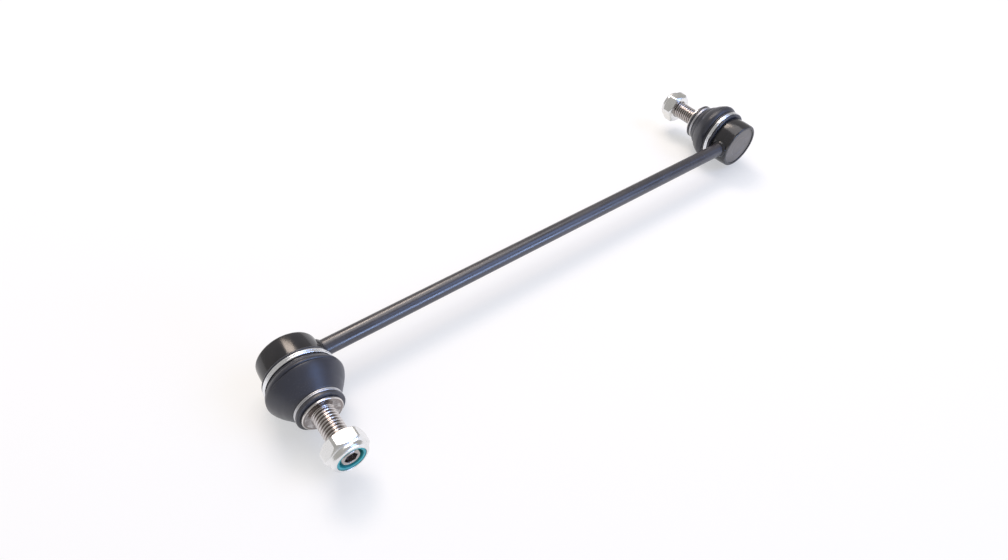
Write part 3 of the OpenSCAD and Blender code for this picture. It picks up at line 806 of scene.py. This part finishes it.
def makeNut(name, side, shape, span, turned):
    # each row is a circle or the rounded hexagon; the two chamfers end where their cones meet the flats
    start, end, flat = span
    angle = around(shape["segments"])[None, :]
    corner = flat / math.cos(math.pi / 6) - shape["corner"]
    hexRadius = hexagon(2 * flat, angle - math.radians(turned))
    blunt = corner + (hexRadius - corner) * shape["cornerKeep"]
    hexRadius = np.where(hexRadius > corner, blunt, hexRadius)
    slope = math.tan(math.radians(shape["slope"]))
    face, cap, top = flat - shape["faceIn"], flat - shape["capIn"], start + shape["hexHeight"]
    rise = start + (hexRadius - face) * slope
    fall = top - (hexRadius - cap) * slope
    soft, bore, window, seat = shape["soft"], shape["bore"], shape["window"], start + shape["insertSeat"]
    capRound, sinkRadius = cap - window, bore + shape["sink"]
    rows = [  # radius, height and how far the row is rubbed
        (bore, start + shape["sink"], 0), (sinkRadius, start, 0), (sinkRadius + soft, start, 0),
        (face - soft, start, 0), (face + soft, start + soft / 2, 1),
        (hexRadius - soft, rise - soft * slope, 0), (hexRadius - soft / 5, rise + soft / 4, 1),
        (hexRadius, rise + soft, 0), (hexRadius, rise + 4 * soft, 0), (hexRadius, fall - 4 * soft, 0),
        (hexRadius, fall - soft, 0), (hexRadius - soft / 5, fall - soft / 4, 1),
        (hexRadius - soft, fall + soft * slope, 0), (cap + 2 * soft, top - soft / 2, 0),
        (cap + soft / 2, top, 0), (cap, top + soft, 0), (cap, top + 3 * soft, 0)]
    hexRows = slice(5, 13)  # the rows that follow the hexagon
    dome = arc(window, end - capRound, capRound, capRound, 0, shape["capArc"], shape["capRows"])
    rows += [(r, s, 0) for r, s in dome]
    rows += [(window + soft / 2, end - soft / 4, 1), (window, end - soft, 0), (window, end - shape["lip"], 0),
             (shape["pocket"], end - shape["lip"], 0), (shape["pocket"], seat, 0), (bore, seat, 0)]
    full = np.zeros_like(angle)
    radius, height, edge = (np.concatenate([row[k] + full for row in rows]) for k in range(3))
    edge[hexRows] = np.maximum(edge[hexRows], smooth(hexRadius, corner - shape["corner"], corner))
    return gridMesh(name, spin(radius, height, angle, side), closeRows=True, masks={"edge": edge})


def makeInsert(name, side, shape, span, nutEnd, window):
    # a ring held under the nut's lip, whose inner part stands up through the lip's window
    start, end, outside = span
    inside, rounding, rim = shape["inside"], shape["round"], window - shape["gap"]
    outline, edge = roundedLoop([
        (inside, start, rounding), (outside, start, rounding), (outside, end, rounding), (rim, end, 0),
        (rim, nutEnd - shape["below"], rounding), (inside, nutEnd - shape["below"], rounding)],
        shape["cornerRows"], shape["support"])
    return lathe(name, outline, side, shape["segments"], edge)


for label, side in sides.items():
    nutSpan = reach(label + "_lock_nut", side)
    nut = makeNut(label + "_hex_nut", side, nutShape, nutSpan, nutShape["turned"][label])
    dress(nut, label + "_nut", label + "_lock_nut", zincPlate)
    insertSpan = reach(label + "_nut_insert", side)
    ring = makeInsert(label + "_nylon_ring", side, insertShape, insertSpan, nutSpan[1], nutShape["window"])
    dress(ring, label + "_insert", label + "_nut_insert", insertNylon)
print("lock nuts and inserts made")


# Floor, light and camera

floorLook = {"halfSize": 6.0, "colour": (0.97, 0.968, 0.966), "drift": 0.006, "driftScale": 3.0,
             "roughness": 0.9, "white": 0.45}
worldColour = (0.45, 0.44, 0.425)
lampLooks = {
    "warmWindow": {"colour": (1.0, 0.82, 0.68), "power": 8.2, "size": (0.62, 0.42),
                   "azimuth": 76.0, "elevation": 54.0, "distance": 1.6},
    "ceiling": {"colour": (1.0, 0.97, 0.98), "power": 6.8, "size": (1.0, 0.9),
                "azimuth": 60.0, "elevation": 70.0, "distance": 1.3},
    "blueSky": {"colour": (0.30, 0.48, 1.0), "power": 4.6, "size": (0.8, 0.6),
                "azimuth": -48.0, "elevation": 44.0, "distance": 1.4},
    "blueWindow": {"colour": (0.40, 0.57, 1.0), "power": 94.0, "size": (2.14, 1.26),
                   "azimuth": -69.0, "elevation": 6.0, "distance": 4.0}}
cameraLook = {"location": (-0.17619, -0.17124, 0.22408), "right": (0.7967, -0.6025, 0.0476),
              "forward": (0.4372, 0.5201, -0.7337), "focalPixels": 630.1, "imageWidth": 1008,
              "sensor": 36.0, "clip": (0.01, 50.0)}


def makeFloor(look):
    # a plain table that takes the shadows, seen partly as plain white by the camera and in reflections
    half, level = look["halfSize"], cadLow.z
    corners = [(-half, -half, level), (half, -half, level), (half, half, level), (-half, half, level)]
    mesh = bpy.data.meshes.new("floor")
    mesh.from_pydata(corners, [], [(0, 1, 2, 3)])
    floor = bpy.data.objects.new("floor", mesh)
    scene.collection.objects.link(floor)
    material = bpy.data.materials.new("paleTable")
    material.use_nodes = True
    tree = material.node_tree
    shader = tree.nodes["Principled BSDF"]
    spot = addNode(tree, "ShaderNodeTexCoord").outputs["Object"]
    shade = tuple(c - look["drift"] for c in look["colour"])
    drift = noise(tree, spot, look["driftScale"])
    tree.links.new(blendColour(tree, drift, shade, look["colour"]), shader.inputs["Base Color"])
    shader.inputs["Roughness"].default_value = look["roughness"]
    shader.inputs["Specular IOR Level"].default_value = 0.0
    path = addNode(tree, "ShaderNodeLightPath")
    mirrored = maths(tree, "MAXIMUM", path.outputs["Is Glossy Ray"], path.outputs["Is Transmission Ray"])
    seen = maths(tree, "MAXIMUM", path.outputs["Is Camera Ray"], mirrored)
    glow = addNode(tree, "ShaderNodeEmission", Strength=1.0)
    blend = addNode(tree, "ShaderNodeMixShader", Fac=maths(tree, "MULTIPLY", seen, look["white"]))
    tree.links.new(shader.outputs["BSDF"], blend.inputs[1])
    tree.links.new(glow.outputs["Emission"], blend.inputs[2])
    tree.links.new(blend.outputs["Shader"], tree.nodes["Material Output"].inputs["Surface"])
    mesh.materials.append(material)


def makeWorld(colour):
    # an even grey room all round
    world = bpy.data.worlds.new("softRoom")
    world.use_nodes = True
    world.node_tree.nodes["Background"].inputs["Color"].default_value = (*colour, 1.0)
    scene.world = world


def makeLamp(name, look):
    # a rectangle that faces the origin from an azimuth off +X and an elevation
    lamp = bpy.data.lights.new(name, "AREA")
    lamp.shape, (lamp.size, lamp.size_y) = "RECTANGLE", look["size"]
    lamp.color, lamp.energy = look["colour"], look["power"]
    a, e = math.radians(look["azimuth"]), math.radians(look["elevation"])
    way = Vector((math.cos(e) * math.cos(a), math.cos(e) * math.sin(a), math.sin(e)))
    holder = bpy.data.objects.new(name, lamp)
    holder.location = way * look["distance"]
    holder.rotation_euler = way.to_track_quat("Z", "Y").to_euler()
    holder.visible_camera = False
    scene.collection.objects.link(holder)


def makeCamera(look):
    # the photograph's own view: place, the way to the right and the way ahead
    data = bpy.data.cameras.new("camera")
    data.sensor_width = look["sensor"]
    data.lens = look["focalPixels"] / look["imageWidth"] * look["sensor"]
    data.clip_start, data.clip_end = look["clip"]
    camera = bpy.data.objects.new("camera", data)
    ahead = Vector(look["forward"]).normalized()
    right = Vector(look["right"]).normalized()
    up = right.cross(ahead).normalized()
    turn = Matrix((right, up, -ahead)).transposed().to_4x4()
    camera.matrix_world = Matrix.Translation(look["location"]) @ turn
    scene.collection.objects.link(camera)
    scene.camera = camera


makeFloor(floorLook)
makeWorld(worldColour)
for name, look in lampLooks.items():
    makeLamp(name, look)
makeCamera(cameraLook)
scene.view_settings.view_transform = "Standard"
print("floor, light and camera made")
